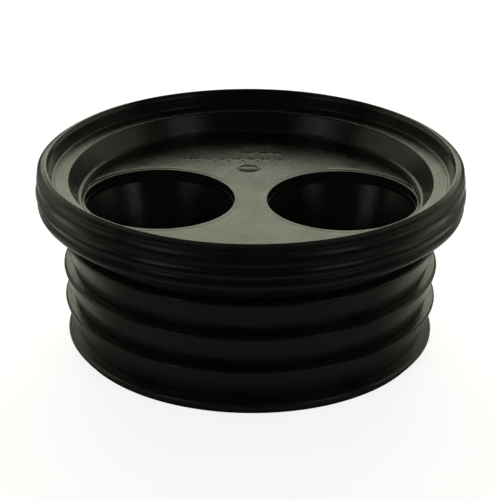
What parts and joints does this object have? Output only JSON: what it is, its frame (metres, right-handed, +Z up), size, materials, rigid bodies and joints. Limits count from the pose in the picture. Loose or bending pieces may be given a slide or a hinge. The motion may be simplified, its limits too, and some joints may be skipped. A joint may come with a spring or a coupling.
{
  "type": "soil pipe adaptor",
  "caption": "Black rubber soil pipe stopper with a beaded flange, a recessed deck with tapered waste inlets, and a barbed skirt that seals in a pipe socket.",
  "frame": {"origin": "centre of the skirt's bottom edge, on the adaptor's axis", "axes": "+Z up along the adaptor's axis, out of the inlets; X through the centres of the two inlets, right inlet at +X"},
  "size_m": [0.1254, 0.1254, 0.0552],
  "materials": {
    "firm_rubber": "satin moulded black rubber",
    "soft_rubber": "satin moulded black rubber",
    "deck_rubber": "fine matt moulded black rubber"
  },
  "bodies": {
    "root": {"carrier": "firm_rubber", "rim_seal": "soft_rubber", "deck_plate": "deck_rubber", "inlet_cone_left": "soft_rubber", "inlet_cone_right": "soft_rubber", "barb_ring_1": "soft_rubber", "barb_ring_2": "soft_rubber", "barb_ring_3": "soft_rubber", "barb_ring_4": "soft_rubber"}
  },
  "joints": []
}
